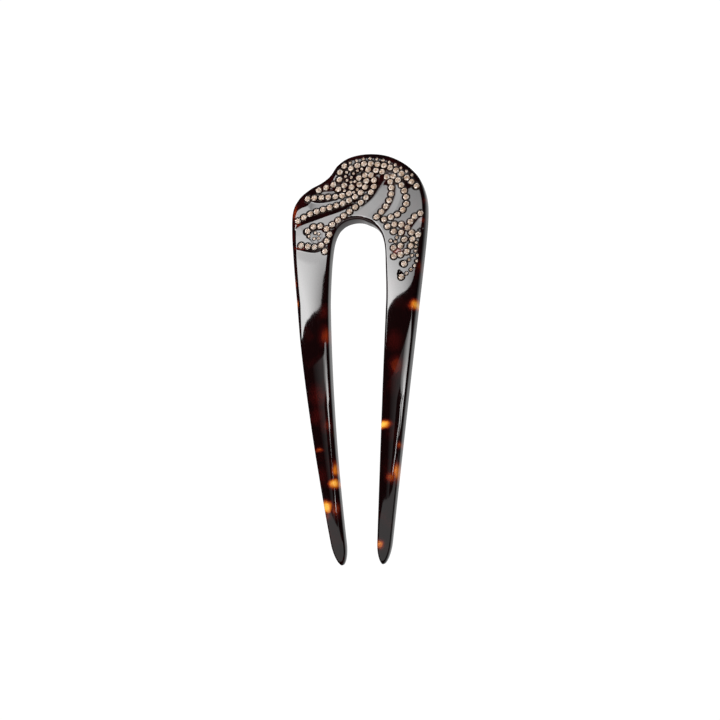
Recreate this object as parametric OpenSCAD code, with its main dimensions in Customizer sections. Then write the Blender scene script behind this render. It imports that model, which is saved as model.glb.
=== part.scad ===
// A hair pin of tortoiseshell acetate with two legs and a lopsided crown.
// Rows of small cut crystals sit in seats drilled into the crown's face.
// +X is to the right, +Y runs towards the crown and +Z out of the decorated face.
// The pin is bent along its length and lies on its hollow back.
// The origin is under the middle of its box. Sizes are millimetres.

/* [Crown] */
// Height of the crown, from its top to where the legs start
crown_h = 46.2; // [42:0.1:50]
// Width across the crown
crown_w = 41; // [38:0.1:46]
// Thickness of the crown
crown_t = 4.8; // [4:0.1:5.5]
// Width of the gap between the legs where they start
gap_w = 17.5; // [15:0.1:19]
// Height of the gap's round end above where the legs start
arch_h = 25.4; // [23:0.1:27]
// How far the gap is set to the right of the crown's middle
gap_shift = 0.1; // [-1:0.1:1]

/* [Legs] */
// Length of the legs below the crown
leg_l = 76; // [60:0.1:100]
// Width of a leg at its end, before the end is rounded
leg_end_w = 3.8; // [3.4:0.1:5]
// Thickness of a leg at its end, before the end is rounded
leg_end_t = 3.3; // [2.6:0.1:4.4]
// Distance between the middles of the two legs' ends
ends_apart = 12.3; // [9:0.1:18]
// Length over which a leg's end is rounded off
tip_l = 6.3; // [4:0.1:10]

/* [Form] */
// Radius that the back of the pin is bent to along its length
bend_r = 320; // [250:1:500]
// Radius of the outer edge of the face
outer_edge_r = 1.3; // [0.8:0.1:1.8]
// Radius of the inner edge of the face
inner_edge_r = 0.7; // [0.5:0.1:1.5]
// Radius of both edges of the back
back_edge_r = 0.8; // [0.5:0.1:1.5]
// How far the face of a leg is crowned between its edges
leg_dome = 0.35; // [0:0.05:0.5]

/* [Carving] */
// Depth of the flutes that are carved below the rows of crystals
flute_depth = 0.3; // [0.1:0.05:0.5]
// Width of the slope that a flute falls over
flute_w = 1.2; // [0.8:0.1:1.6]
// Width of the slope that a flute rises over
flute_rise_w = 0.7; // [0.4:0.1:1]
// How far a flute reaches in under the crystals of its row
flute_inset = 0.15; // [0.1:0.05:0.3]

/* [Crystals] */
// Diameter of a large crystal
stone_d = 1.75; // [1.5:0.05:1.8]
// Diameter of a small crystal
small_stone_d = 0.85; // [0.7:0.05:1]
// Gap all round a crystal in its seat
seat_gap = 0.04; // [0.02:0.01:0.06]
// Least wall that is left between two seats
seat_wall = 0.05; // [0.04:0.01:0.2]
// How far a crystal's widest part lies below the face
stone_sink = 0.05; // [0:0.01:0.15]

/* [Hidden] */

LENGTH = crown_h + leg_l;
TOP_Y = LENGTH / 2;
FOOT_Y = TOP_Y - crown_h;
END_Y = -LENGTH / 2;
ARCH_Y = FOOT_Y + arch_h;

// Cross sections of the crown from its left foot to its right foot, as shares.
// [outer x, outer y, inner x, inner y]
// Outer x is a share of half the crown's width and outer y of its height, from its top down.
// Inner x is a share of half the gap's width and inner y of the arch's height, from its top down.
CROWN_SECTIONS = [
    [-0.890, 1.000, -1.000, 1.000],
    [-0.934, 0.828, -0.995, 0.730],
    [-0.976, 0.640, -0.965, 0.454],
    [-1.000, 0.505, -0.898, 0.246],
    [-0.998, 0.369, -0.770, 0.119],
    [-0.918, 0.279, -0.614, 0.055],
    [-0.758, 0.220, -0.463, 0.023],
    [-0.582, 0.180, -0.324, 0.008],
    [-0.455, 0.134, -0.198, 0.001],
    [-0.352, 0.066, -0.079, 0.000],
    [-0.177, 0.017,  0.041, 0.005],
    [ 0.083, 0.000,  0.162, 0.017],
    [ 0.369, 0.019,  0.290, 0.038],
    [ 0.620, 0.075,  0.445, 0.064],
    [ 0.805, 0.148,  0.610, 0.108],
    [ 0.915, 0.222,  0.780, 0.182],
    [ 0.983, 0.324,  0.886, 0.275],
    [ 1.000, 0.441,  0.943, 0.390],
    [ 0.980, 0.609,  0.967, 0.540],
    [ 0.935, 0.828,  0.995, 0.779],
    [ 0.894, 1.000,  1.000, 1.000],
];

// How much of a leg's sideways run is a curve and not a straight line
LEG_BOW = 0.27;
// Share of a leg's length over which its face becomes crowned
DOME_SHARE = 0.3;
// Share of a leg's thickness that is kept as its end is rounded
TIP_THICKNESS_SHARE = 0.45;
// Most that an edge may take of the width or the thickness
EDGE_SHARE = 0.45;

CROWN_STEPS = 3;
LEG_STEPS = 20;
TIP_STEPS = 7;
// Part of a step that the flat at a leg's very end takes
TIP_CLOSING = 0.3;
EDGE_STEPS = 4;
FACE_STEPS = 6;
BACK_STEPS = 2;

// The crystals' rows: [node, size, count, places].
// A place is a share of half the crown's width to the right of its middle
// and a share of the crown's height down from its top.
// A row's crystals are spread evenly along a curve through its places,
// or a count of 0 puts one at each place.
LARGE = 0;
SMALL = 1;
ROWS = [
    ["rim_crystals", LARGE, 12,
        [[-0.139, 0.105], [0.038, 0.079], [0.247, 0.088], [0.444, 0.115], [0.622, 0.162],
         [0.852, 0.253]]],
    ["rim_crystals", LARGE, 6,
        [[-0.610, 0.240], [-0.395, 0.210], [-0.300, 0.175], [-0.300, 0.125], [-0.240, 0.085]]],
    ["upper_plume_crystals", LARGE, 7,
        [[-0.773, 0.294], [-0.463, 0.292], [-0.255, 0.288], [-0.151, 0.276]]],
    ["middle_plume_crystals", LARGE, 11,
        [[-0.901, 0.444], [-0.730, 0.403], [-0.532, 0.375], [-0.238, 0.341], [-0.054, 0.302],
         [0.025, 0.276]]],
    ["lower_plume_crystals", LARGE, 9,
        [[-0.468, 0.507], [-0.210, 0.423], [0.031, 0.341], [0.178, 0.278]]],
    ["left_curl_crystals", LARGE, 6,
        [[-0.420, 0.546], [-0.460, 0.590], [-0.540, 0.615], [-0.640, 0.625], [-0.840, 0.610]]],
    ["left_curl_crystals", LARGE, 3,
        [[-0.751, 0.515], [-0.671, 0.487], [-0.567, 0.485]]],
    ["left_curl_crystals", LARGE, 0,
        [[-0.483, 0.655]]],
    ["centre_crystals", LARGE, 0,
        [[-0.316, 0.242], [-0.227, 0.220], [-0.116, 0.235], [0.000, 0.220], [0.101, 0.199],
         [-0.011, 0.175], [0.076, 0.158], [0.170, 0.160], [0.120, 0.120], [0.240, 0.130],
         [0.218, 0.198], [0.219, 0.240], [0.086, 0.240]]],
    ["right_plume_crystals", LARGE, 9,
        [[0.276, 0.448], [0.406, 0.381], [0.480, 0.301], [0.457, 0.212], [0.333, 0.142]]],
    ["outer_plume_crystals", LARGE, 10,
        [[0.387, 0.468], [0.580, 0.440], [0.708, 0.377], [0.680, 0.289], [0.585, 0.212],
         [0.494, 0.173]]],
    ["hook_crystals", LARGE, 4,
        [[0.926, 0.441], [0.838, 0.461], [0.781, 0.493], [0.739, 0.532]]],
    ["hook_crystals", LARGE, 3,
        [[0.442, 0.515], [0.538, 0.505], [0.645, 0.510]]],
    ["leg_crystals", LARGE, 0,
        [[0.534, 0.552], [0.645, 0.562], [0.798, 0.566], [0.898, 0.583], [0.816, 0.611],
         [0.696, 0.609], [0.792, 0.654], [0.640, 0.649], [0.539, 0.660], [0.736, 0.691],
         [0.645, 0.708], [0.545, 0.716], [0.700, 0.770], [0.660, 0.854]]],
    ["small_rim_crystals", SMALL, 11,
        [[-0.155, 0.065], [0.033, 0.045], [0.234, 0.050], [0.434, 0.079], [0.611, 0.123],
         [0.775, 0.174]]],
    ["small_crystals", SMALL, 0,
        [[-0.200, 0.130], [-0.215, 0.158], [-0.188, 0.186], [-0.095, 0.142], [-0.126, 0.168],
         [-0.127, 0.200], [-0.070, 0.198], [-0.039, 0.123], [0.026, 0.114], [-0.221, 0.255],
         [-0.080, 0.271], [-0.029, 0.255]]],
    ["small_crystals", SMALL, 0,
        [[-0.727, 0.550], [-0.637, 0.528], [-0.584, 0.537], [-0.581, 0.566], [-0.649, 0.568]]],
    ["small_crystals", SMALL, 0,
        [[0.495, 0.613], [0.564, 0.620], [0.583, 0.594], [0.875, 0.635], [0.867, 0.662],
         [0.864, 0.690], [0.892, 0.720], [0.814, 0.718], [0.882, 0.755], [0.772, 0.745],
         [0.854, 0.787], [0.802, 0.811], [0.738, 0.834]]],
];

// The flutes carved below the rows: [share of a flute's full width, places].
// A flute falls away to the right of its run.
FLUTES = [
    [0.7, [[-0.640, 0.244], [-0.395, 0.210], [-0.280, 0.180]]],
    [0.9, [[0.560, 0.150], [0.701, 0.189], [0.870, 0.262]]],
    [0.9, [[-0.830, 0.300], [-0.463, 0.292], [-0.130, 0.274]]],
    [1.3, [[-0.940, 0.460], [-0.730, 0.403], [-0.532, 0.375], [-0.238, 0.341], [0.060, 0.262]]],
    [1.1, [[-0.480, 0.510], [-0.210, 0.423], [0.031, 0.341], [0.190, 0.268], [0.240, 0.190]]],
    [0.5, [[0.380, 0.400], [0.480, 0.301], [0.457, 0.212], [0.390, 0.168]]],
    [0.5, [[0.739, 0.532], [0.838, 0.461], [0.940, 0.435]]],
    [0.5, [[-0.900, 0.602], [-0.640, 0.625], [-0.480, 0.600]]],
    [0.6, [[-0.790, 0.535], [-0.671, 0.487], [-0.530, 0.487]]],
];

// The cut of a crystal, as shares of its diameter
STONE_SIDES = 8;
TABLE_SHARE = 0.56;
CROWN_SHARE = 0.2;
PAVILION_SHARE = 0.42;
// How far a cutting tool reaches past the face that it cuts
OVERCUT = 0.5;
// Drop at the start of a flute, where it meets its row
FLUTE_LIP = 0.04;
// Share of a flute's run that its direction is measured over, and that its ends stop short by
TURN_SHARE = 0.02;
END_SHARE = 0.12;
FLUTE_STEPS = 12;
CURVE_STEPS = 8;
SEAT_SIDES = 24;

CRYSTAL_NODES = ["rim_crystals", "upper_plume_crystals", "middle_plume_crystals",
    "lower_plume_crystals", "left_curl_crystals", "centre_crystals", "right_plume_crystals",
    "outer_plume_crystals", "hook_crystals", "leg_crystals", "small_rim_crystals", "small_crystals"];

// General functions

function total(list, i = 0) = i < len(list) ? list[i] + total(list, i + 1) : 0;

function share(a, b, s) = a + (b - a) * s;

// A point of the curve through b and c, with a before them and d after
function curve(a, b, c, d, s) =
    b + s / 2 * ((c - a) + s * ((2 * a - 5 * b + 4 * c - d) + s * (3 * (b - c) + d - a)));

// The bend: a place in plan and a height above the back, as a point in space
function lean(y) = asin(y / bend_r);
function bent(x, y, height) =
    [x, y + height * sin(lean(y)), bend_r * cos(lean(y)) + height * cos(lean(y))];

// Sections of the body: [outer x, outer y, inner x, inner y]

function crown_section(i) =
    let (row = CROWN_SECTIONS[i])
    [row[0] * crown_w / 2, TOP_Y - row[1] * crown_h,
     gap_shift + row[2] * gap_w / 2, ARCH_Y - row[3] * arch_h];

LAST = len(CROWN_SECTIONS) - 1;

// A section of a leg, at a share of its length: side is -1 for the left leg and 1 for the right
function leg_section(side, s) =
    let (foot = crown_section(side < 0 ? 0 : LAST))
    let (foot_x = (foot[0] + foot[2]) / 2)
    let (end_x = gap_shift + side * ends_apart / 2)
    let (x = share(foot_x, end_x, (1 - LEG_BOW) * s + LEG_BOW * s * s))
    let (w = share(abs(foot[0] - foot[2]), leg_end_w, s) * tip_width(s))
    let (y = FOOT_Y - leg_l * s)
    [x + side * w / 2, y, x - side * w / 2, y];

// What rounding the end leaves of a leg's width
function tip_width(s) =
    let (out = 1 - min(1, (1 - s) * leg_l / tip_l))
    sqrt(max(0, 1 - out * out));

// Shares of a leg's length at which it has sections, from its foot to its end
TIP_START = 1 - tip_l / leg_l;
LEG_SHARES = concat(
    [for (i = [1 : LEG_STEPS]) TIP_START * i / LEG_STEPS],
    [for (i = [1 : TIP_STEPS]) share(TIP_START, 1, sin(90 * i / (TIP_STEPS + TIP_CLOSING)))]);
LAST_SHARE = len(LEG_SHARES) - 1;

// The row before or after the crown's own rows continues into the leg
GHOST_SHARE = 0.1;
function row_at(i) =
    i < 0 ? leg_section(-1, GHOST_SHARE) : i > LAST ? leg_section(1, GHOST_SHARE) : crown_section(i);

// Each section with the share of the leg that it lies at, which is 0 in the crown
SECTIONS = concat(
    [for (i = [LAST_SHARE : -1 : 0]) [leg_section(-1, LEG_SHARES[i]), LEG_SHARES[i]]],
    [for (i = [0 : LAST - 1], k = [0 : CROWN_STEPS - 1])
        [curve(row_at(i - 1), row_at(i), row_at(i + 1), row_at(i + 2), k / CROWN_STEPS), 0]],
    [[crown_section(LAST), 0]],
    [for (i = [0 : LAST_SHARE]) [leg_section(1, LEG_SHARES[i]), LEG_SHARES[i]]]);

// The outline of one section: [across, from the inner side, and height above the back]

function arc(x, h, r, start, steps) =
    [for (i = [0 : steps]) [x + r * cos(start + 90 * i / steps), h + r * sin(start + 90 * i / steps)]];

function line(a, b, steps) = [for (i = [1 : 1 : steps - 1]) share(a, b, i / steps)];

function outline(w, t) =
    let (most = EDGE_SHARE * min(w, t))
    let (ro = min(outer_edge_r, most))
    let (ri = min(inner_edge_r, most))
    let (rb = min(back_edge_r, most))
    concat(
        arc(w - ro, t - ro, ro, 0, EDGE_STEPS),
        line([w - ro, t], [ri, t], FACE_STEPS),
        arc(ri, t - ri, ri, 90, EDGE_STEPS),
        arc(rb, rb, rb, 180, EDGE_STEPS),
        line([rb, 0], [w - rb, 0], BACK_STEPS),
        arc(w - rb, rb, rb, 270, EDGE_STEPS));

RING = 4 * (EDGE_STEPS + 1) + FACE_STEPS - 1 + BACK_STEPS - 1;

// One ring of points: the outline on its section, crowned, thinned at the end and bent
function ring(section, s) =
    let (outer = [section[0], section[1]])
    let (inner = [section[2], section[3]])
    let (w = norm(outer - inner))
    let (full = share(crown_t, leg_end_t, s))
    let (t = full * share(TIP_THICKNESS_SHARE, 1, tip_width(s)))
    let (dome = leg_dome * min(1, s / DOME_SHARE) * tip_width(s))
    [for (p = outline(w, t))
        let (at = share(inner, outer, p[0] / w))
        let (off = 2 * p[0] / w - 1)
        bent(at[0], at[1], (full - t) / 2 + p[1] + dome * p[1] / t * (1 - off * off))];

RINGS = [for (s = SECTIONS) ring(s[0], s[1])];
COUNT = len(RINGS);

// The middle of a ring, where a leg's end closes
function middle(points) = [for (axis = [0 : 2]) total([for (p = points) p[axis]]) / len(points)];

BODY_POINTS = concat(
    [for (r = RINGS, p = r) p],
    [middle(RINGS[0]), middle(RINGS[COUNT - 1])]);

BODY_FACES = concat(
    [for (i = [0 : COUNT - 2], k = [0 : RING - 1])
        let (a = i * RING + k)
        let (b = i * RING + (k + 1) % RING)
        each [[b + RING, b, a], [a + RING, b + RING, a]]],
    [for (k = [0 : RING - 1]) [COUNT * RING, k, (k + 1) % RING]],
    [for (k = [0 : RING - 1])
        [COUNT * RING + 1, (COUNT - 1) * RING + (k + 1) % RING, (COUNT - 1) * RING + k]]);

// The middle of the body's box at its lowest point
function low(axis) = min([for (p = BODY_POINTS) p[axis]]);
function high(axis) = max([for (p = BODY_POINTS) p[axis]]);
ORIGIN = [(low(0) + high(0)) / 2, (low(1) + high(1)) / 2, low(2)];

// Places of the crystals

function place(p) = [p[0] * crown_w / 2, TOP_Y - p[1] * crown_h];

// Many points along the curve through a row's places
function run(places) =
    let (last = len(places) - 1)
    let (p = [for (q = places) place(q)])
    let (before = 2 * p[0] - p[1])
    let (after = 2 * p[last] - p[last - 1])
    concat(
        [for (i = [0 : last - 1], k = [0 : CURVE_STEPS - 1])
            curve(i == 0 ? before : p[i - 1], p[i], p[i + 1], i + 2 > last ? after : p[i + 2],
                k / CURVE_STEPS)],
        [p[last]]);

// Length of the run up to each of its points
function lengths(points, i = 0, sum = 0) =
    i >= len(points) - 1 ? [sum]
        : concat([sum], lengths(points, i + 1, sum + norm(points[i + 1] - points[i])));

// The point at a share of the run's length
function along(points, sums, s) =
    let (l = s * sums[len(sums) - 1])
    [for (axis = [0, 1]) lookup(l, [for (i = [0 : len(points) - 1]) [sums[i], points[i][axis]]])];

function spread(places, count) =
    let (points = run(places))
    let (sums = lengths(points))
    [for (k = [0 : count - 1]) along(points, sums, k / (count - 1))];

function row_places(row) = row[2] == 0 ? [for (p = row[3]) place(p)] : spread(row[3], row[2]);

function diameter(size) = size == LARGE ? stone_d : small_stone_d;

// A crystal: [x, y, diameter, node]
PLANNED = [for (row = ROWS, p = row_places(row)) [p[0], p[1], diameter(row[1]), row[0]]];

function clear(a, others) =
    len([for (b = others)
        if (norm([a[0] - b[0], a[1] - b[1]]) < (a[2] + b[2]) / 2 + 2 * seat_gap + seat_wall) 1]) == 0;

// Leaves out each crystal that has no room beside the ones before it
function fitted(list, i = 0, kept = []) =
    i >= len(list) ? kept : fitted(list, i + 1, clear(list[i], kept) ? concat(kept, [list[i]]) : kept);

CRYSTALS = fitted(PLANNED);

// Shape of a crystal

function facet_ring(c, d, height) =
    [for (i = [0 : STONE_SIDES - 1])
        let (turn = 360 * (i + 0.5) / STONE_SIDES)
        let (tilt = lean(c[1]))
        bent(c[0], c[1], crown_t) + [
            d / 2 * cos(turn),
            d / 2 * sin(turn) * cos(tilt) + height * sin(tilt),
            height * cos(tilt) - d / 2 * sin(turn) * sin(tilt)]];

function culet_height(d) = -stone_sink - PAVILION_SHARE * d;

function crystal_points(c) =
    concat(
        facet_ring(c, c[2] * TABLE_SHARE, CROWN_SHARE * c[2] - stone_sink),
        facet_ring(c, c[2], -stone_sink),
        [bent(c[0], c[1], crown_t + culet_height(c[2]))]);

CRYSTAL_POINTS = 2 * STONE_SIDES + 1;

function crystal_faces(first) =
    concat(
        [[for (i = [STONE_SIDES - 1 : -1 : 0]) first + i]],
        [for (i = [0 : STONE_SIDES - 1])
            let (a = first + i)
            let (b = first + (i + 1) % STONE_SIDES)
            [a, b, b + STONE_SIDES, a + STONE_SIDES]],
        [for (i = [0 : STONE_SIDES - 1])
            let (a = first + STONE_SIDES + i)
            let (b = first + STONE_SIDES + (i + 1) % STONE_SIDES)
            [a, b, first + 2 * STONE_SIDES]]);

// A flute: a falling slope beside its row and a shorter rising slope

function flute_ring(points, sums, width, s) =
    let (at = along(points, sums, s))
    let (back = along(points, sums, max(0, s - TURN_SHARE)))
    let (ahead = along(points, sums, min(1, s + TURN_SHARE)))
    let (way = (ahead - back) / norm(ahead - back))
    let (size = sin(180 * share(END_SHARE, 1 - END_SHARE, s)))
    let (start = stone_d / 2 - flute_inset)
    let (w = flute_w * width * size)
    let (rise = flute_rise_w * width * size)
    let (deep = flute_depth * size)
    [for (p = [[start, OVERCUT], [start, -FLUTE_LIP], [start + w, -deep],
            [start + w + rise * (1 + OVERCUT / deep), OVERCUT]])
        bent(at[0] + way[1] * p[0], at[1] - way[0] * p[0], crown_t + p[1])];

module flute(width, places) {
    points = run(places);
    sums = lengths(points);
    rings = [for (k = [0 : FLUTE_STEPS]) flute_ring(points, sums, width, k / FLUTE_STEPS)];
    sides = [for (i = [0 : FLUTE_STEPS - 1], k = [0 : 3])
        let (a = 4 * i + k)
        let (b = 4 * i + (k + 1) % 4)
        each [[a, b, b + 4], [a, b + 4, a + 4]]];
    ends = [[3, 2, 1, 0], [for (k = [0 : 3]) 4 * FLUTE_STEPS + k]];
    polyhedron([for (r = rings, p = r) p], concat(sides, ends));
}

// A seat: a round hole from the face down to just under the crystal's point
module seat(c) {
    depth = seat_gap - culet_height(c[2]);
    translate(bent(c[0], c[1], crown_t))
        rotate([-lean(c[1]), 0, 0])
            translate([0, 0, -depth])
                cylinder(h = depth + OVERCUT, d = c[2] + 2 * seat_gap, $fn = SEAT_SIDES);
}

module pin_body() {
    color("#2b1511")
        translate(-ORIGIN)
            difference() {
                polyhedron(BODY_POINTS, BODY_FACES);
                for (f = FLUTES)
                    flute(f[0], f[1]);
                for (c = CRYSTALS)
                    seat(c);
            }
}

module crystals(name) {
    mine = [for (c = CRYSTALS) if (c[3] == name) c];
    color("#ead3bf")
        translate(-ORIGIN)
            polyhedron(
                [for (c = mine, p = crystal_points(c)) p],
                [for (i = [0 : len(mine) - 1], f = crystal_faces(i * CRYSTAL_POINTS)) f]);
}

pin_body();
for (name = CRYSTAL_NODES)
    crystals(name);
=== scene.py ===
"""A hair pin of polished tortoiseshell acetate, set with rows of cut crystals.

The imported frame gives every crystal's place, size and axis. This script makes a finely
carved body in the solid's place, and brilliant-cut stones in place of the crystals.
Shapes are worked out in millimetres and made in metres.
"""

import math
import random

import bmesh
import bpy
import numpy as np
from mathutils import Matrix, Vector


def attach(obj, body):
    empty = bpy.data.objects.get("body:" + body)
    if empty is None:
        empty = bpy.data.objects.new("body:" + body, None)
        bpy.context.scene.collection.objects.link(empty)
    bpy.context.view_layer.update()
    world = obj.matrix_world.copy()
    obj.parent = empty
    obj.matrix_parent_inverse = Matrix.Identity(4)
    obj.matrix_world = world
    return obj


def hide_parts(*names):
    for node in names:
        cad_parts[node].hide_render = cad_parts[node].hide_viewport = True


MM = 0.001

# Sizes of the pin in mm, the same as the solid's
CROWN_H = 46.2
CROWN_W = 41.0
CROWN_T = 4.8
GAP_W = 17.5
ARCH_H = 25.4
GAP_SHIFT = 0.1
LEG_L = 76.0
LEG_END_W = 3.8
LEG_END_T = 3.3
ENDS_APART = 12.3
TIP_L = 6.3
BEND_R = 320.0
OUTER_EDGE_R = 1.3
INNER_EDGE_R = 0.7
BACK_EDGE_R = 0.8
LEG_DOME = 0.35
FLUTE_INSET = 0.15
LARGE_STONE_D = 1.75
SEAT_GAP = 0.04
STONE_SINK = 0.05

# Shares that shape the legs, the same as the solid's: how much of a leg's sideways run is a
# curve, how much of its length its face takes to become crowned, how much of its thickness
# its rounded end keeps, the part of a step that the flat at its very end takes, and the most
# that an edge may take of the width or the thickness
LEG_BOW = 0.27
DOME_SHARE = 0.3
TIP_THICKNESS_SHARE = 0.45
TIP_CLOSING = 0.3
EDGE_SHARE = 0.45

# The share of a leg's length down to the section that steers the curve at the crown's foot
GHOST_SHARE = 0.1

# The legs' outer edge in mm, sharper than the solid's, and the share of a leg that it takes
# to get so
LEG_OUTER_EDGE_R = 0.6
EDGE_CHANGE_SHARE = 0.15

LARGE_R = LARGE_STONE_D / 2
TOP_Y = (CROWN_H + LEG_L) / 2
FOOT_Y = TOP_Y - CROWN_H
ARCH_Y = FOOT_Y + ARCH_H

# Cross sections of the crown from its left foot to its right foot, as shares:
# outer x of half the width, outer y of the height from the top down,
# inner x of half the gap's width, inner y of the arch's height from its top down
CROWN_SECTIONS = np.array([
    [-0.890, 1.000, -1.000, 1.000],
    [-0.934, 0.828, -0.995, 0.730],
    [-0.976, 0.640, -0.965, 0.454],
    [-1.000, 0.505, -0.898, 0.246],
    [-0.998, 0.369, -0.770, 0.119],
    [-0.918, 0.279, -0.614, 0.055],
    [-0.758, 0.220, -0.463, 0.023],
    [-0.582, 0.180, -0.324, 0.008],
    [-0.455, 0.134, -0.198, 0.001],
    [-0.352, 0.066, -0.079, 0.000],
    [-0.177, 0.017, 0.041, 0.005],
    [0.083, 0.000, 0.162, 0.017],
    [0.369, 0.019, 0.290, 0.038],
    [0.620, 0.075, 0.445, 0.064],
    [0.805, 0.148, 0.610, 0.108],
    [0.915, 0.222, 0.780, 0.182],
    [0.983, 0.324, 0.886, 0.275],
    [1.000, 0.441, 0.943, 0.390],
    [0.980, 0.609, 0.967, 0.540],
    [0.935, 0.828, 0.995, 0.779],
    [0.894, 1.000, 1.000, 1.000],
])

# Steps of the fine body: between two sections of the crown, along a leg, round its end, across
# an edge, the face and the back, and between two places of a flute, and the sides of a cutter
CROWN_STEPS = 17
LEG_STEPS = 70
TIP_STEPS = 16
EDGE_STEPS = 7
FACE_STEPS = 90
BACK_STEPS = 8
RUN_STEPS = 16
CUTTER_SIDES = 32

# The angle in degrees from which an edge of the body is shaded sharp
SHARP_ANGLE = 22

# The flutes carved below the rows: slope of the fall, slope of the rise, places of the run.
# A place is a share of half the crown's width to the right of its middle, a share of the
# crown's height down from its top, and the width in mm of the fall there.
# The face falls away to the right of a run by the first slope and rises again by the second.
FLUTES = [
    (0.19, 0.055, [[-0.660, 0.244, 0.4], [-0.520, 0.228, 0.8], [-0.395, 0.210, 1.5],
                   [-0.280, 0.180, 0.9]]),
    (0.32, 0.30, [[0.500, 0.130, 0.5], [0.600, 0.155, 0.8], [0.701, 0.165, 1.1],
                  [0.790, 0.186, 1.5], [0.853, 0.209, 1.4], [0.905, 0.232, 0.0]]),
    (0.19, 0.055, [[-0.820, 0.292, 0.2], [-0.720, 0.292, 0.6], [-0.620, 0.295, 1.0],
                   [-0.463, 0.292, 1.0], [-0.130, 0.274, 0.6]]),
    (0.19, 0.055, [[-1.080, 0.530, 0.2], [-0.990, 0.486, 0.7], [-0.900, 0.444, 1.25],
                   [-0.730, 0.403, 1.80], [-0.532, 0.375, 1.75], [-0.238, 0.341, 1.5],
                   [-0.080, 0.300, 1.3], [0.060, 0.262, 0.6]]),
    (0.19, 0.055, [[-0.480, 0.510, 0.5], [-0.210, 0.423, 0.8], [0.031, 0.341, 0.95],
                   [0.130, 0.305, 0.9], [0.190, 0.268, 1.0], [0.235, 0.220, 1.4],
                   [0.250, 0.170, 2.7], [0.256, 0.138, 2.8]]),
    (0.19, 0.055, [[0.276, 0.448, 0.4], [0.406, 0.381, 0.55], [0.480, 0.301, 0.55],
                   [0.457, 0.212, 0.75], [0.390, 0.168, 0.9]]),
    (0.19, 0.055, [[0.739, 0.532, 0.4], [0.838, 0.461, 0.7], [0.940, 0.435, 0.5]]),
    (0.19, 0.055, [[-0.940, 0.602, 0.6], [-0.640, 0.625, 0.95], [-0.480, 0.600, 0.5]]),
    (0.55, 0.05, [[-0.790, 0.535, 0.35], [-0.671, 0.487, 0.65], [-0.530, 0.487, 0.5]]),
]

# How steeply the face falls to the outer edge, and how wide: [crown section, width in mm]
EDGE_SLOPE = 0.20
EDGE_FALLS = np.array([
    [-1.0, 0.4],
    [0.0, 0.7],
    [1.0, 1.1],
    [2.0, 1.5],
    [3.0, 1.7],
    [3.6, 1.4],
    [4.1, 1.9],
    [4.45, 3.0],
    [4.75, 4.2],
    [5.1, 4.4],
    [6.2, 2.9],
    [7.2, 2.6],
    [8.2, 2.3],
    [9.0, 2.1],
    [10.0, 1.8],
    [12.0, 1.8],
    [13.5, 2.1],
    [15.0, 1.7],
    [17.0, 1.3],
    [18.0, 1.7],
    [19.0, 1.6],
    [21.0, 0.4],
])

# How the face falls to the inner edge: [crown section, width in mm, slope]
INNER_FALLS = np.array([
    [-1.0, 1.2, 0.06],
    [0.0, 1.2, 0.06],
    [1.0, 1.0, 0.15],
    [2.0, 0.9, 0.20],
    [3.0, 1.4, 0.20],
    [5.0, 1.2, 0.20],
    [13.0, 1.1, 0.20],
    [16.0, 0.7, 0.10],
    [18.0, 0.5, 0.0],
])

# Where the doming starts on the way down to the legs, and where it is full, in mm above the
# middle of the pin
DOME_START_Y = 40.0
DOME_FULL_Y = 15.0

# Shares of the thickness: where the sag of the face starts, where the carving starts, and
# above which a place lies on the face
SAG_START = 0.3
CARVE_START = 0.8
FACE_START = 0.99

# A face of the body looks up when its direction rises at least this much
LOOKS_UP = 0.8

# Bell-shaped waves of the polished face in mm: [x, y, spread in x, spread in y, height]
WAVES = [
    [-13.0, 21.0, 8.0, 8.0, -0.24],
    [-13.0, 2.0, 8.0, 8.0, 0.24],
    [-7.5, 19.0, 2.6, 10.0, -0.22],
    [-7.5, -38.0, 5.0, 6.0, -0.10],
    [-7.5, -54.0, 5.0, 6.0, 0.10],
    [17.0, 14.0, 2.5, 6.0, 0.15],
    [-10.5, -54.0, 1.8, 6.0, 0.20],
]

# Ripples of the polish along the legs in mm: [height, length], and the y where they start on
# the way down and where they are full
RIPPLES = [
    [0.020, 9.3],
    [0.006, 4.1],
]
RIPPLE_START_Y = 2.0
RIPPLE_FULL_Y = -10.0

# Gouges beside stones, cones in mm: [x, y, radius, depth].
# The cutting cone goes on above the face by the flare and is blunt by the tip, as shares.
GOUGES = [
    [13.90, 25.90, 1.15, 1.20],
    [13.25, 22.60, 1.00, 1.40],
    [12.95, 23.45, 0.55, 0.80],
    [18.45, 36.10, 0.30, 0.35],
    [19.00, 36.35, 0.34, 0.38],
    [19.55, 36.60, 0.34, 0.38],
]
GOUGE_FLARE = 0.25
GOUGE_TIP = 0.15

# The cut of a stone, as shares of its diameter
TABLE_R = 0.28
STAR_R = 0.40
GIRDLE_H = 0.03
PAVILION_H = 0.42
CROWN_H_SHARE = 0.2

# The range of a facet's painted reflection, from 0 for dark to 1 for bright: on the table, on the
# crown, and on the girdle and the back. Each facet's colour is a painted reflection, a random tone
# within these ranges that stands for the light and shade its foil mirrors
PAINTED_REFLECTION_TONES = [(0.05, 0.55), (0.35, 1.0), (0.0, 0.2)]

# The most that a stone leans each way, in radians, and the seed of all leans, turns and tones
STONE_LEAN = 0.05
SEED = 7

# How crystals are read: points closer than the weld, in metres, are one, the girdle lies
# outside its share of the radius, and crystals are sorted by place to so many decimals
WELD = 1e-6
GIRDLE_SHARE = 0.9
PLACE_DECIMALS = 6

# A seat's straight wall as a share of the pavilion's depth, and its floor as one of its radius
SEAT_WALL_SHARE = 0.6
SEAT_FLOOR_SHARE = 0.3

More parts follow.
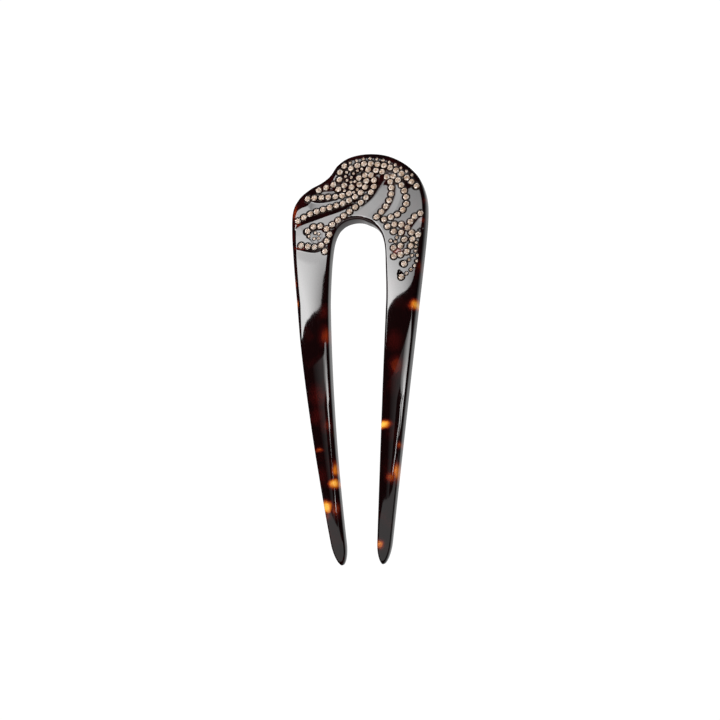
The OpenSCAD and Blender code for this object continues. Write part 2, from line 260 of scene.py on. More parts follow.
# The hollow ring round a stone: its slope, how far its cutter goes on past it, and its width,
# both in mm. Small crystals have a ring of their own above CLUSTER_Y and in the left curl.
RING_SLOPE = 0.62
RING_REACH = 0.6
RINGS = {
    "rim_crystals": 0.46,
    "centre_crystals": 0.70,
    "small_crystals": 0.28,
    "small_rim_crystals": 0.16,
}
RING_OTHER = 0.40
CLUSTER_RING = 0.55
CURL_RING = 0.12
CLUSTER_Y = 46.0

# The shell's colours, from its dark ground to the amber
SHELL_COLOURS = [
    (0.0, (0.0055, 0.0010, 0.0012)),
    (0.2, (0.030, 0.0022, 0.002)),
    (0.42, (0.17, 0.018, 0.004)),
    (0.70, (0.62, 0.16, 0.012)),
    (1.0, (0.90, 0.48, 0.07)),
]
# How strongly the colours give off a painted glow of their own, which stands in for light shining
# through the amber
PAINTED_GLOW = 0.30

# The clouds: their strength, the noise where they start and are full, its scale and detail
CLOUD = 0.13
CLOUD_START = 0.5
CLOUD_FULL = 0.75
CLOUD_NOISE = (160, 3)

# How far in mm the patches' outlines waver, with the scale and detail of that noise, and the
# share of a patch's size within which it is full
WOBBLE = 1.1
WOBBLE_NOISE = (420, 1)
PATCH_CORE = 0.1

# Amber patches in mm: [x, y, half width, half length, strength]
PATCHES = [
    [18.9, 13.3, 4.2, 2.9, 0.92],
    [7.6, -21.7, 4.6, 2.1, 1.0],
    [-7.0, -38.3, 2.9, 2.4, 0.90],
    [-6.5, -34.3, 1.8, 3.8, 0.66],
    [-9.7, -44.9, 3.0, 3.0, 1.0],
    [-6.7, -45.9, 2.2, 4.0, 0.34],
    [12.0, -35.9, 2.4, 5.2, 0.64],
    [10.2, -37.2, 3.0, 2.8, 0.42],
    [13.1, -27.9, 2.2, 2.2, 0.46],
    [5.6, -56.0, 2.8, 2.2, 0.64],
    [-11.2, -28.5, 2.4, 1.1, 0.42],
    [-18.2, 15.1, 1.1, 3.0, 0.70],
    [-18.9, 21.7, 1.0, 2.8, 0.55],
    [-8.5, 5.2, 3.8, 4.8, 0.40],
    [-9.0, 12.6, 3.4, 3.2, 0.18],
    [11.7, 2.8, 3.6, 4.6, 0.17],
    [12.5, -4.6, 3.6, 4.6, 0.26],
    [-11.0, -13.4, 3.6, 4.4, 0.20],
    [-11.4, -18.4, 3.4, 4.0, 0.20],
    [-8.8, -21.4, 2.6, 3.4, 0.26],
    [-11.0, -36.0, 3.4, 4.0, 0.18],
    [-9.6, -47.6, 2.2, 2.2, 0.30],
    [-19.6, 43.6, 1.8, 4.4, 0.34],
    [-18.6, 40.0, 1.8, 1.8, 0.30],
    [19.9, 39.2, 2.6, 1.2, 0.24],
    [20.4, 45.6, 1.4, 1.8, 0.32],
    [19.6, 24.8, 2.0, 3.4, 0.27],
    [12.2, 30.0, 3.0, 1.8, 0.36],
    [-17.6, 32.6, 3.4, 1.1, 0.32],
    [-20.2, 36.0, 1.2, 3.0, 0.22],
]

# The crystals' colours for their facets' painted reflections, from the darkest facet to the
# brightest
CRYSTAL_COLOURS = [
    (0.0, (0.09, 0.045, 0.025)),
    (0.25, (0.30, 0.18, 0.10)),
    (0.55, (0.46, 0.34, 0.26)),
    (0.8, (0.66, 0.55, 0.46)),
    (1.0, (0.90, 0.83, 0.77)),
]

# The polish of both materials, and how strongly the crystals' clear skin mirrors
ROUGHNESS = 0.04
IOR = 1.5
CRYSTAL_GLOSS = 0.25

# The camera, as the photograph was taken: its angles in degrees to the right of the face's
# middle and towards the legs' ends, its distance and target in mm, its lens, sensor and clips,
# how far in mm it aims to the right of the target and above it, and its roll
CAMERA_RIGHT = 14.0
CAMERA_LOW = 11.5
CAMERA_FAR = 800.0
TARGET = Vector((0.0, 0.0, 2.9))
LENS = 135.6
SENSOR_W = 36
CLIP_START = 0.05
CLIP_END = 20
AIM_RIGHT = -0.50
AIM_UP = -1.0
ROLL = math.radians(0.10)

# The lit panels' corners in mm, seen from the pin: right, up
SOFTBOX = [(-105, -63), (-87, -55), (-79, -47), (-69, -40), (-57, -34), (-44, -29), (-27, -25),
           (-10, -20), (0, -18), (9, -16), (20, -14.5), (35, -11.5), (50, -8), (60, -5), (68, 3),
           (78, 20), (98, 45), (98, 110), (60, 132), (-80, 112), (-105, 60)]
SIDE_PANEL = [(-650, -260), (-215, -260), (-215, 20), (-130, 60), (-130, 182), (-213, 163),
              (-342, 140), (-650, 105)]
SIDE_GLOW = [(-170, 172), (-130, 182), (-70, 215), (-35, 250), (-60, 40), (-100, 10), (-170, 60)]
SIDE_STRIP = [(-40, 250), (60, 260), (60, 60), (20, 0), (-70, 0), (-75, 60), (-60, 180)]
LOW_STRIP = [(-30, 0), (20, 0), (20, -40), (5, -100), (-25, -100)]
SIDE_EDGE = [(-70, 0), (-54, 0), (-52, -90), (-70, -135), (-84, -178), (-108, -178), (-88, -140),
             (-68, -90)]
LOW_CARD = [(-700, -560), (1500, -560), (1500, -60), (467, -50), (400, -45), (320, -18),
            (305, 20), (270, 28), (250, 0), (225, -18), (134, -14), (0, 2), (-63, 11), (-147, 15),
            (-186, 11), (-214, 7), (-240, 0), (-300, -5), (-420, -10), (-700, -12)]

# The least that a light gives where no other is stated, the most that any gives, and the
# light of the room all round
LEAST_LIGHT = 0.015
MOST_LIGHT = 16.5
ROOM_LIGHT = 0.015

# The lit panels: name, azimuth, elevation and distance from the pin, corners, radiance at its
# middle, change of that for each mm to the right and up, and least radiance
PANELS = [
    ("softbox", -15, 25, 300, SOFTBOX, 11.4, (-0.10, -0.055), 4.5),
    ("side_panel", 6, 1, 1000, SIDE_PANEL, 1.0, (0.0021, 0.0005), LEAST_LIGHT),
    ("side_glow", 6, 1, 998, SIDE_GLOW, 13.0, (0.075, 0.0), LEAST_LIGHT),
    ("side_strip", 6, 1, 996, SIDE_STRIP, 15.0, (-0.01, -0.06), 4.0),
    ("low_strip", 6, 1, 996, LOW_STRIP, 14.5, (0.0, 0.12), 3.0),
    ("side_edge", 6, 1, 996, SIDE_EDGE, 15.0, (0.0, 0.0), LEAST_LIGHT),
    ("low_card", -14, -12, 700, LOW_CARD, 1.0, (0.0, 0.0), LEAST_LIGHT),
]

# The table's corners in mm, seen from above, and its radiance
TABLE_CORNERS = [(-3000, -3000), (3000, -3000), (3000, 3000), (-3000, 3000)]
TABLE_LIGHT = 1.05

# The part of the table that the pin's gloss shows, a little lower: its height and corners in
# mm, its radiance at the pin's middle and the change of that for each mm to the right
MIRRORED_Z = -0.2
MIRRORED_TABLE = [(-6.2, -64), (-13.4, 15), (-15, 32), (-8, 44), (8, 50), (15, 54), (24, 60),
                  (900, 60), (900, -900), (-6.2, -900)]
MIRRORED_LIGHT = (0.75, -0.006)


def curve(a, b, c, d, s):
    """A point of the curve through b and c, with a before them and d after."""
    return b + s / 2 * ((c - a) + s * ((2 * a - 5 * b + 4 * c - d) + s * (3 * (b - c) + d - a)))


def mix(a, b, s):
    """The value at a share of the way from a to b."""
    return a + (b - a) * s


def smooth(t):
    """A soft rise from 0 to 1."""
    t = np.clip(t, 0, 1)
    return t * t * (3 - 2 * t)


# The sweep of the body


def crown_section(row):
    """A section of the crown: outer x and y, inner x and y."""
    return np.array([row[0] * CROWN_W / 2, TOP_Y - row[1] * CROWN_H,
                     GAP_SHIFT + row[2] * GAP_W / 2, ARCH_Y - row[3] * ARCH_H])


def tip_width(s):
    """What rounding the end leaves of a leg's width."""
    out = 1 - min(1, (1 - s) * LEG_L / TIP_L)
    return math.sqrt(max(0, 1 - out * out))


def leg_section(side, s):
    """A leg's section at a share of its length: outer x and y, inner x and y."""
    foot = crown_section(CROWN_SECTIONS[0 if side < 0 else -1])
    foot_x = (foot[0] + foot[2]) / 2
    end_x = GAP_SHIFT + side * ENDS_APART / 2
    x = mix(foot_x, end_x, (1 - LEG_BOW) * s + LEG_BOW * s * s)
    w = mix(abs(foot[0] - foot[2]), LEG_END_W, s) * tip_width(s)
    y = FOOT_Y - LEG_L * s
    return np.array([x + side * w / 2, y, x - side * w / 2, y])


def leg_shares():
    """The shares of a leg's length where its sections lie, closer together round its end."""
    start = 1 - TIP_L / LEG_L
    straight = [start * i / LEG_STEPS for i in range(1, LEG_STEPS + 1)]
    ends = [mix(start, 1, math.sin(math.pi / 2 * i / (TIP_STEPS + TIP_CLOSING)))
            for i in range(1, TIP_STEPS + 1)]
    return straight + ends


def sections():
    """Every section from the left leg's end to the right leg's: points, share, crown section."""
    rows = [leg_section(-1, GHOST_SHARE)]
    rows += [crown_section(r) for r in CROWN_SECTIONS]
    rows += [leg_section(1, GHOST_SHARE)]
    shares = leg_shares()
    made = [(leg_section(-1, s), s, -1.0) for s in reversed(shares)]
    for i in range(1, len(rows) - 2):
        for k in range(CROWN_STEPS):
            made.append((curve(*rows[i - 1:i + 3], k / CROWN_STEPS), 0.0, i - 1 + k / CROWN_STEPS))
    made.append((rows[-2], 0.0, len(rows) - 3.0))
    made += [(leg_section(1, s), s, len(rows) - 2.0) for s in shares]
    return made


def arc(x, h, r, start):
    """A quarter turn, from a start angle in degrees."""
    turns = np.radians(start + 90 * np.arange(EDGE_STEPS + 1) / EDGE_STEPS)
    return np.stack([x + r * np.cos(turns), h + r * np.sin(turns)], axis=1)


def line(a, b, steps):
    """The points between two others."""
    s = np.arange(1, steps)[:, None] / steps
    return np.array(a) + (np.array(b) - np.array(a)) * s


def outline(w, t, outer_r):
    """One section's outline: across from the inner side, and height above the back."""
    most = EDGE_SHARE * min(w, t)
    ro, ri, rb = (min(r, most) for r in (outer_r, INNER_EDGE_R, BACK_EDGE_R))
    return np.concatenate([
        arc(w - ro, t - ro, ro, 0),
        line([w - ro, t], [ri, t], FACE_STEPS),
        arc(ri, t - ri, ri, 90),
        arc(rb, rb, rb, 180),
        line([rb, 0], [w - rb, 0], BACK_STEPS),
        arc(w - rb, rb, rb, 270)])


def bent(x, y, height):
    """The bend: places in plan and heights above the back, as points in space."""
    lean = np.arcsin(y / BEND_R)
    return np.stack([x, y + height * np.sin(lean), (BEND_R + height) * np.cos(lean)], axis=-1)


# The carving


def place(p):
    """A place on the crown in mm, from its shares."""
    return np.array([p[0] * CROWN_W / 2, TOP_Y - p[1] * CROWN_H])


def run(places):
    """Many points along the curve through a run's places, with the width at each."""
    p = [np.append(place(q), q[2]) for q in places]
    p = [2 * p[0] - p[1]] + p + [2 * p[-1] - p[-2]]
    points = [curve(*p[i - 1:i + 3], k / RUN_STEPS)
              for i in range(1, len(p) - 2) for k in range(RUN_STEPS)]
    return np.array(points + [p[-2]])


def flute_depth(x, y, slope, rise, places):
    """How deep one flute is at each place in plan."""
    points = run(places)
    best = np.full(x.shape, np.inf)
    side = np.zeros_like(x)
    width = np.zeros_like(x)
    for i in range(len(points) - 1):
        a, b = points[i, :2], points[i + 1, :2]
        d = b - a
        along = ((x - a[0]) * d[0] + (y - a[1]) * d[1]) / (d @ d)
        t = np.clip(along, 0, 1)
        away = np.hypot(x - a[0] - t * d[0], y - a[1] - t * d[1])
        right = (x - a[0]) * d[1] - (y - a[1]) * d[0]
        past = ((i == 0) & (along < 0)) | ((i == len(points) - 2) & (along > 1))
        nearer = away < best
        best = np.where(nearer, away, best)
        side = np.where(nearer, np.where(past, 0, np.sign(right)), side)
        width = np.where(nearer, mix(points[i, 2], points[i + 1, 2], t), width)
    off = best - (LARGE_R - FLUTE_INSET)
    deep = np.minimum(slope * off, slope * width - rise * (off - width))
    return np.where(side > 0, np.maximum(deep, 0), 0)


def carve_depth(x, y):
    """How deep the flutes are at each place in plan."""
    return np.max([flute_depth(x, y, *flute) for flute in FLUTES], axis=0)


def sag(x, y, edge, inner, across, share, section):
    """How far the polished face lies below the plain one.

    edge and inner are the distances from the outer and the inner edge, across runs from -1 to 1
    between them, share is the place along a leg and section the one along the crown.
    """
    width = np.interp(section, EDGE_FALLS[:, 0], EDGE_FALLS[:, 1])
    fall = EDGE_SLOPE * np.clip(width - edge, 0, None)
    width, slope = (np.interp(section, INNER_FALLS[:, 0], INNER_FALLS[:, k]) for k in (1, 2))
    fall = fall + slope * np.clip(width - inner, 0, None)
    dome = LEG_DOME * np.clip((DOME_START_Y - y) / (DOME_START_Y - DOME_FULL_Y), 0, 1)
    raised = LEG_DOME * np.clip(share / DOME_SHARE, 0, 1)
    fall = fall + (dome - raised) * across ** 2
    for wx, wy, rx, ry, high in WAVES:
        fall = fall - high * np.exp(-((x - wx) / rx) ** 2 / 2 - ((y - wy) / ry) ** 2 / 2)
    rippled = np.clip((RIPPLE_START_Y - y) / (RIPPLE_START_Y - RIPPLE_FULL_Y), 0, 1) * across ** 4
    for high, length in RIPPLES:
        fall = fall + rippled * high * np.sin(math.tau * y / length)
    return fall


def fade(up, start):
    """How much of the relief there is at a share of the thickness."""
    return smooth((up - start) / (1 - start))


def body_rings():
    """The body's rings as carved, the same without any relief, and the face's sag by place."""
    rings = []
    for section, s, turn in sections():
        outer, inner = section[:2], section[2:]
        w = float(np.linalg.norm(outer - inner))
        full = mix(CROWN_T, LEG_END_T, s)
        t = full * mix(TIP_THICKNESS_SHARE, 1, tip_width(s))
        dome = LEG_DOME * min(1, s / DOME_SHARE) * tip_width(s)
        outer_r = mix(OUTER_EDGE_R, LEG_OUTER_EDGE_R, min(1, s / EDGE_CHANGE_SHARE))
        p = outline(w, t, outer_r)
        at = inner + (outer - inner) * (p[:, :1] / w)
        off = 2 * p[:, 0] / w - 1
        height = (full - t) / 2 + p[:, 1] + dome * p[:, 1] / t * (1 - off * off)
        low = sag(at[:, 0], at[:, 1], w - p[:, 0], p[:, 0], off, s, turn) * tip_width(s)
        rings.append((at[:, 0], at[:, 1], height, p[:, 1] / t, low))
    x, y, height, up, low = (np.array(k) for k in zip(*rings))
    low = low * fade(up, SAG_START) + carve_depth(x, y) * fade(up, CARVE_START)
    face = up > FACE_START
    return bent(x, y, height - low), bent(x, y, height), (x[face], y[face], low[face])


def mesh_object(name, points, faces):
    """A new piece in the scene."""
    mesh = bpy.data.meshes.new(name)
    mesh.from_pydata(points, [], faces)
    mesh.update()
    made = bpy.data.objects.new(name, mesh)
    bpy.context.scene.collection.objects.link(made)
    return made


def body_mesh():
    """The carved body, and how far its face sags at each place in plan."""
    rings, plain, sags = body_rings()
    low = plain.reshape(-1, 3).min(axis=0)
    high = plain.reshape(-1, 3).max(axis=0)
    origin = np.array([(low[0] + high[0]) / 2, (low[1] + high[1]) / 2, low[2]])
    count, ring = rings.shape[:2]
    points = (rings - origin).reshape(-1, 3)
    ends = [points[:ring].mean(axis=0), points[-ring:].mean(axis=0)]
    points = np.concatenate([points, ends]) * MM
    faces = []
    for i in range(count - 1):
        for k in range(ring):
            a, b = i * ring + k, i * ring + (k + 1) % ring
            faces.append((a, b, b + ring, a + ring))
    for k in range(ring):
        faces.append((count * ring, (k + 1) % ring, k))
        last = (count - 1) * ring
        faces.append((count * ring + 1, last + k, last + (k + 1) % ring))
    x, y, low = sags
    return mesh_object("acetate_body", points.tolist(), faces), (x - origin[0], y, low)


def face_places(body):
    """Places on the upper face and the directions out of it, in metres."""
    up = [p for p in body.data.polygons if p.normal.z > LOOKS_UP]
    return np.array([p.center for p in up]), np.array([p.normal for p in up])


# The stones


def loose_parts(mesh):
    """The points of each loose part of a mesh, always in the same order."""
    bm = bmesh.new()
    bm.from_mesh(mesh)
    bmesh.ops.remove_doubles(bm, verts=bm.verts, dist=WELD)
    seen, parts = set(), []
    for start in bm.verts:
        part, reached = [], [start]
        while reached:
            v = reached.pop()
            if v not in seen:
                seen.add(v)
                part.append(tuple(v.co))
                reached += [e.other_vert(v) for e in v.link_edges]
        if part:
            parts.append(np.array(part))
    bm.free()
    return parts


def read_stones(node, sags):
    """Each crystal of a node: its girdle's middle on the sagging face, axis and diameter."""
    found = []
    for points in loose_parts(node.data):
        off = points - points.mean(axis=0)
        axis = np.linalg.svd(off)[2][2]
        axis *= np.sign(axis[2])
        radial = np.linalg.norm(off - (off @ axis)[:, None] * axis, axis=1)
        centre = points[radial > radial.max() * GIRDLE_SHARE].mean(axis=0)
        near = np.argmin(np.hypot(sags[0] - centre[0] / MM, sags[1] - centre[1] / MM))
        found.append((centre - axis * sags[2][near] * MM, axis, 2 * radial.max()))
    return sorted(found, key=lambda stone: tuple(np.round(stone[0], PLACE_DECIMALS)))


def brilliant():
    """Points and faces of a brilliant cut, one diameter across, with each face's row of
    PAINTED_REFLECTION_TONES.
    """
    def point(r, turn, h):
        a = math.radians(45 * turn)
        return (r * math.cos(a), r * math.sin(a), h)

    half = math.cos(math.radians(22.5))
    star_h = CROWN_H_SHARE * (0.5 - STAR_R * half) / (0.5 - TABLE_R)
    points = [point(TABLE_R, i, CROWN_H_SHARE) for i in range(8)]
    points += [point(STAR_R, i + 0.5, star_h) for i in range(8)]
    points += [point(0.5, i / 2, 0) for i in range(16)]
    points += [point(0.5, i / 2, -GIRDLE_H) for i in range(16)]
    points += [(0, 0, CROWN_H_SHARE), (0, 0, -PAVILION_H)]
    # Where the star points, the girdle's two rings and the two middles start in the points
    star, upper, under, middle, culet = 8, 16, 32, 48, 49
    faces, parts = [], []
    for i in range(8):
        j, h = (i + 1) % 8, (i - 1) % 8
        g, m, n = 2 * i, 2 * i + 1, (2 * i + 2) % 16
        faces += [(middle, i, j),
                  (i, star + i, j),
                  (i, star + h, upper + g, star + i),
                  (star + i, upper + g, upper + m),
                  (star + i, upper + m, upper + n),
                  (upper + g, under + g, under + m, upper + m),
                  (upper + m, under + m, under + n, upper + n),
                  (culet, under + m, under + g),
                  (culet, under + n, under + m)]
        parts += [0, 1, 1, 1, 1, 2, 2, 2, 2]
    return np.array(points), faces, parts


def stones_object(name, stones, dice):
    """All the stones of a row in one piece. Each facet's colour is a painted reflection of what it
    mirrors.
    """
    shape, faces, parts = brilliant()
    points, made, painted_reflections = [], [], []
    for middle, axis, d in stones:
        lean = Vector((dice.uniform(-1, 1), dice.uniform(-1, 1), 0)) * STONE_LEAN
        turn = Vector(axis).to_track_quat("Z", "Y").to_matrix() @ (
            Matrix.Rotation(dice.uniform(0, math.tau), 3, "Z"))
        turn = Matrix.Rotation(lean.length, 3, lean.normalized()) @ turn
        first = len(points)
        points += [Vector(middle) + turn @ Vector(p * d) for p in shape]
        made += [tuple(first + k for k in f) for f in faces]
        # Each facet gets a painted reflection: a random tone within the range of its part
        for part in parts:
            low, high = PAINTED_REFLECTION_TONES[part]
            painted_reflections.append(dice.uniform(low, high))
    piece = mesh_object(name, points, made)
    painted_reflection = piece.data.attributes.new("painted_reflection", "FLOAT", "FACE")
    painted_reflection.data.foreach_set("value", painted_reflections)
    return piece


def seat(stone, ring):
    """A drilled hole with a shallow hollow ring round it: place, axis and radii with heights."""
    middle, axis, d = stone
    r = d / 2 + SEAT_GAP * MM
    return middle, axis, [
        (r + (ring + RING_REACH) * MM, (STONE_SINK + RING_SLOPE * RING_REACH) * MM),
        (r, (STONE_SINK - RING_SLOPE * ring) * MM),
        (r, -PAVILION_H * d * SEAT_WALL_SHARE),
        (r * SEAT_FLOOR_SHARE, -PAVILION_H * d - SEAT_GAP * MM)]


def gouge(x, y, radius, depth, face):
    """A blunt cone into the face: place, axis and radii with heights."""
    places, axes = face
    near = np.argmin(np.hypot(places[:, 0] - x * MM, places[:, 1] - y * MM))
    return places[near], axes[near], [
        (radius * (1 + GOUGE_FLARE) * MM, depth * GOUGE_FLARE * MM),
        (radius * GOUGE_TIP * MM, -depth * (1 - GOUGE_TIP) * MM)]


def cutter_mesh(cutters):
    """One mesh of turned solids."""
    sides = CUTTER_SIDES
    points, faces = [], []
    for middle, axis, levels in cutters:
        to_space = Vector(axis).to_track_quat("Z", "Y").to_matrix()
        first = len(points)
        for radius, h in levels:
            for k in range(sides):
                a = math.tau * k / sides
                local = Vector((radius * math.cos(a), radius * math.sin(a), h))
                points.append(Vector(middle) + to_space @ local)
        for i in range(len(levels) - 1):
            for k in range(sides):
                a, b = first + i * sides + k, first + i * sides + (k + 1) % sides
                faces.append((a, a + sides, b + sides, b))
        faces.append(tuple(first + k for k in range(sides)))
        bottom = first + (len(levels) - 1) * sides
        faces.append(tuple(bottom + k for k in reversed(range(sides))))
    return mesh_object("cutters", points, faces)


def ring_width(node, stone):
    """How wide in mm the hollow ring round a stone is."""
    ring = RINGS.get(node, RING_OTHER)
    if node == "small_crystals" and stone[0][1] > CLUSTER_Y * MM:
        ring = CLUSTER_RING
    elif node == "small_crystals" and stone[0][0] < 0:
        ring = CURL_RING
    return ring


def clear(cutter, other):
    """Whether two cutters stay apart. A cutter is widest at its first height."""
    return np.linalg.norm(cutter[0] - other[0]) > cutter[2][0][0] + other[2][0][0]


def apart(cutters):
    """The cutters in groups that don't touch."""
    groups = []
    for cutter in cutters:
        for group in groups:
            if all(clear(cutter, other) for other in group):
                group.append(cutter)
                break
        else:
            groups.append([cutter])
    return groups


def cut(piece, cutter):
    """Takes the cutter's solids out of a piece, and removes the cutter."""
    step = piece.modifiers.new("seats", "BOOLEAN")
    step.operation = "DIFFERENCE"
    step.solver = "MANIFOLD"
    step.object = cutter
    dg = bpy.context.evaluated_depsgraph_get()
    done = bpy.data.meshes.new_from_object(piece.evaluated_get(dg))
    piece.modifiers.clear()
    old = piece.data
    piece.data = done
    bpy.data.meshes.remove(old)
    bpy.data.objects.remove(cutter)


# Materials


def new_material(name):
    """A material with its nodes, links and shader."""
    made = bpy.data.materials.new(name)
    made.use_nodes = True
    return made, made.node_tree.nodes, made.node_tree.links, made.node_tree.nodes["Principled BSDF"]


def ramp(nodes, stops):
    """A colour ramp. It starts out with two stops of its own."""
    made = nodes.new("ShaderNodeValToRGB")
    for at, _ in stops[2:]:
        made.color_ramp.elements.new(at)
    for element, (at, colour) in zip(made.color_ramp.elements, stops):
        element.position = at
        element.color = (*colour, 1)
    return made


def feed(links, node, values):
    """Gives a node's inputs fixed values or the outputs of other nodes."""
    for socket, value in zip(node.inputs, values):
        if isinstance(value, bpy.types.NodeSocket):
            links.new(value, socket)
        else:
            socket.default_value = value


def math_node(nodes, links, operation, *values, clamp=False):
    """The output of a step with numbers."""
    made = nodes.new("ShaderNodeMath")
    made.operation = operation
    made.use_clamp = clamp
    feed(links, made, values)
    return made.outputs["Value"]


def vector_node(nodes, links, operation, *values):
    """The output of a step with vectors."""
    made = nodes.new("ShaderNodeVectorMath")
    made.operation = operation
    feed(links, made, values)
    return made.outputs["Value" if operation == "LENGTH" else "Vector"]


def rise(nodes, links, value, start, full, most, kind="LINEAR"):
    """The output that grows from 0 at the start value to the most at the full value."""
    made = nodes.new("ShaderNodeMapRange")
    made.interpolation_type = kind
    links.new(value, made.inputs["Value"])
    made.inputs["From Min"].default_value = start
    made.inputs["From Max"].default_value = full
    made.inputs["To Max"].default_value = most
    return made.outputs["Result"]


def noise(nodes, links, vector, scale, detail):
    """A cloudy noise."""
    made = nodes.new("ShaderNodeTexNoise")
    made.inputs["Scale"].default_value = scale
    made.inputs["Detail"].default_value = detail
    links.new(vector, made.inputs["Vector"])
    return made


def acetate():
    """Nearly black brown with red clouds and the amber patches, which also give off a painted glow.
    """
    made, nodes, links, shader = new_material("tortoiseshell")
    where = nodes.new("ShaderNodeTexCoord").outputs["Object"]
    wobble = noise(nodes, links, where, *WOBBLE_NOISE).outputs["Color"]
    moved = vector_node(nodes, links, "MULTIPLY_ADD", wobble, (WOBBLE * MM,) * 3, where)
    total = None
    for x, y, rx, ry, strength in PATCHES:
        middle = ((x + WOBBLE / 2) * MM, (y + WOBBLE / 2) * MM, 0)
        off = vector_node(nodes, links, "SUBTRACT", moved, middle)
        scaled = vector_node(nodes, links, "MULTIPLY", off, (1 / (rx * MM), 1 / (ry * MM), 0))
        away = vector_node(nodes, links, "LENGTH", scaled)
        patch = rise(nodes, links, away, 1.0, PATCH_CORE, strength, "SMOOTHSTEP")
        total = patch if total is None else math_node(nodes, links, "MAXIMUM", total, patch)
    clouds = noise(nodes, links, where, *CLOUD_NOISE).outputs["Fac"]
    cloud = rise(nodes, links, clouds, CLOUD_START, CLOUD_FULL, CLOUD)
    total = math_node(nodes, links, "ADD", total, cloud, clamp=True)
    colours = ramp(nodes, SHELL_COLOURS)
    links.new(total, colours.inputs["Fac"])
    links.new(colours.outputs["Color"], shader.inputs["Base Color"])
    # Painted glow: the colours also shine as emission, standing in for light that comes through the
    # amber
    links.new(colours.outputs["Color"], shader.inputs["Emission Color"])
    links.new(math_node(nodes, links, "MULTIPLY", total, PAINTED_GLOW), shader.inputs["Emission Strength"])
    shader.inputs["Roughness"].default_value = ROUGHNESS
    shader.inputs["IOR"].default_value = IOR
    return made


def crystal():
    """Foil-backed cut glass: each facet shows its own painted reflection under a clear, glossy
    skin.
    """
    made, nodes, links, shader = new_material("crystal")
    # The facets' painted reflections set the base colour
    painted_reflection = nodes.new("ShaderNodeAttribute")
    painted_reflection.attribute_name = "painted_reflection"
    colours = ramp(nodes, CRYSTAL_COLOURS)
    links.new(painted_reflection.outputs["Fac"], colours.inputs["Fac"])
    links.new(colours.outputs["Color"], shader.inputs["Base Color"])
    shader.inputs["Roughness"].default_value = ROUGHNESS
    shader.inputs["IOR"].default_value = IOR
    shader.inputs["Specular IOR Level"].default_value = CRYSTAL_GLOSS
    return made


# The studio


def towards(azimuth, elevation):
    """Right, up and outward directions. Azimuth is to the right of +Z, elevation towards +Y."""
    a, e = math.radians(azimuth), math.radians(elevation)
    back = Vector((math.sin(a) * math.cos(e), math.sin(e), math.cos(a) * math.cos(e)))
    right = Vector((0, 1, 0)).cross(back).normalized()
    return right, back.cross(right), back


def facing(right, up, back, place_mm):
    """The placement at a place in mm that has its own +Z along back."""
    turn = Matrix((right, up, back)).transposed()
    return Matrix.Translation(place_mm * MM) @ turn.to_4x4()


def camera():
    """The scene's camera, where the photograph was taken."""
    right, up, back = towards(CAMERA_RIGHT, -CAMERA_LOW)
    right, up = (right * math.cos(ROLL) + up * math.sin(ROLL),
                 up * math.cos(ROLL) - right * math.sin(ROLL))
    data = bpy.data.cameras.new("camera")
    data.lens = LENS
    data.sensor_width = SENSOR_W
    data.clip_start = CLIP_START
    data.clip_end = CLIP_END
    made = bpy.data.objects.new("camera", data)
    bpy.context.scene.collection.objects.link(made)
    aim = TARGET + right * AIM_RIGHT + up * AIM_UP
    made.matrix_world = facing(right, up, back, aim + back * CAMERA_FAR)
    bpy.context.scene.camera = made


def lit_surface(name, radiance, slope, least):
    """Light that is even or changes steadily over the piece, within limits."""
    made, nodes, links, shader = new_material(name + "_light")
    nodes.remove(shader)
    split = nodes.new("ShaderNodeSeparateXYZ")
    links.new(nodes.new("ShaderNodeTexCoord").outputs["Object"], split.inputs[0])
    across = math_node(nodes, links, "MULTIPLY", split.outputs["X"], slope[0] / MM)
    along = math_node(nodes, links, "MULTIPLY", split.outputs["Y"], slope[1] / MM)
    power = math_node(nodes, links, "ADD", math_node(nodes, links, "ADD", across, along), radiance)
    glow = nodes.new("ShaderNodeEmission")
    power = math_node(nodes, links, "MAXIMUM", power, least)
    links.new(math_node(nodes, links, "MINIMUM", power, MOST_LIGHT), glow.inputs["Strength"])
    links.new(glow.outputs[0], nodes["Material Output"].inputs["Surface"])
    return made


def panel(name, azimuth, elevation, distance, corners, radiance, slope, least):
    """A lit panel that faces the pin, hidden from the camera."""
    right, up, back = towards(azimuth, elevation)
    made = mesh_object(name, [Vector((u, w, 0)) * MM for u, w in corners],
                       [tuple(range(len(corners)))])
    made.matrix_world = facing(right, up, back, back * distance)
    made.data.materials.append(lit_surface(name, radiance, slope, least))
    made.visible_camera = False


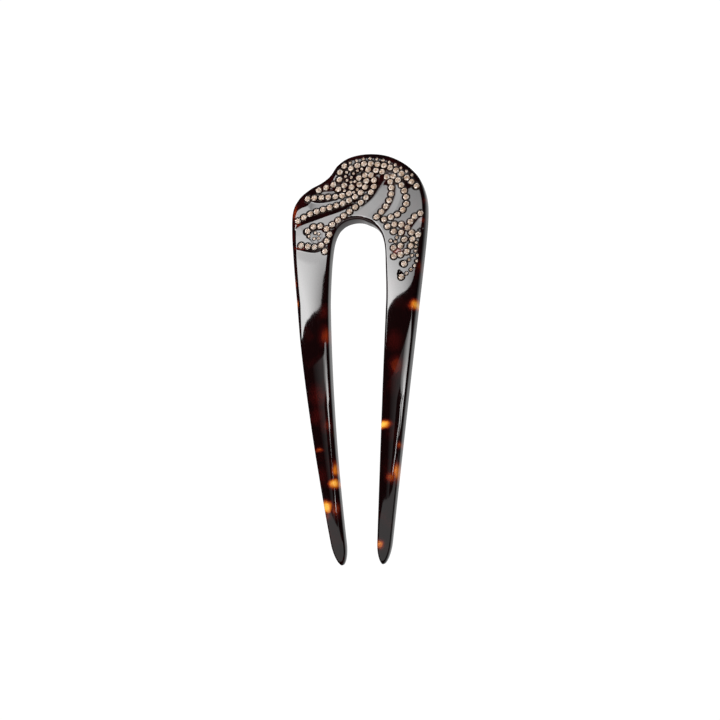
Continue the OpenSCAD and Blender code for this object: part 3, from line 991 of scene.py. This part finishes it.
def sheet(name, low, corners, radiance, slope):
    """A level lit sheet under the pin, that changes in brightness for each mm to the right."""
    made = mesh_object(name, [Vector((x, y, low)) * MM for x, y in corners],
                       [tuple(range(len(corners)))])
    made.data.materials.append(lit_surface(name, radiance, (slope, 0), LEAST_LIGHT))
    return made


def studio():
    """The table, the part of it that the gloss shows, the lit panels and the dim room."""
    table = sheet("table", 0.0, TABLE_CORNERS, TABLE_LIGHT, 0)
    table.visible_glossy = False
    table.visible_diffuse = False
    mirrored = sheet("mirrored_table", MIRRORED_Z, MIRRORED_TABLE, *MIRRORED_LIGHT)
    mirrored.visible_camera = False
    for row in PANELS:
        panel(*row)
    world = bpy.data.worlds.new("room")
    bpy.context.scene.world = world
    world.use_nodes = True
    background = world.node_tree.nodes["Background"]
    background.inputs["Color"].default_value = (1, 1, 1, 1)
    background.inputs["Strength"].default_value = ROOM_LIGHT
    bpy.context.scene.view_settings.view_transform = "Standard"


# Everything is put together

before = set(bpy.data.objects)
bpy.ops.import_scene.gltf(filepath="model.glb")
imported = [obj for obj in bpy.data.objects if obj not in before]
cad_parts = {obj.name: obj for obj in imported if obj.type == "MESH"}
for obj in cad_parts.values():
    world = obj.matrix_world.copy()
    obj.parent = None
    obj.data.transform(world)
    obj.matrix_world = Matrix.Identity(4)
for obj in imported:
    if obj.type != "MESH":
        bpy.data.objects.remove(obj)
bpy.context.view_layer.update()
camera()

crystal_nodes = sorted(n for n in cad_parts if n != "pin_body")
body, sags = body_mesh()
stones = {n: read_stones(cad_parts[n], sags) for n in crystal_nodes}
cutters = [seat(stone, ring_width(n, stone)) for n in crystal_nodes for stone in stones[n]]
face = face_places(body)
cutters += [gouge(*row, face) for row in GOUGES]
for group in apart(cutters):
    cut(body, cutter_mesh(group))
body.data.shade_smooth()
body.data.set_sharp_from_angle(angle=math.radians(SHARP_ANGLE))
body.data.materials.clear()
body.data.materials.append(acetate())
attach(body, "root")
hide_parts("pin_body")

crystal_material = crystal()
dice = random.Random(SEED)
for n in crystal_nodes:
    piece = stones_object(n.replace("crystals", "stones"), stones[n], dice)
    piece.data.materials.append(crystal_material)
    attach(piece, "root")
    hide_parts(n)

studio()
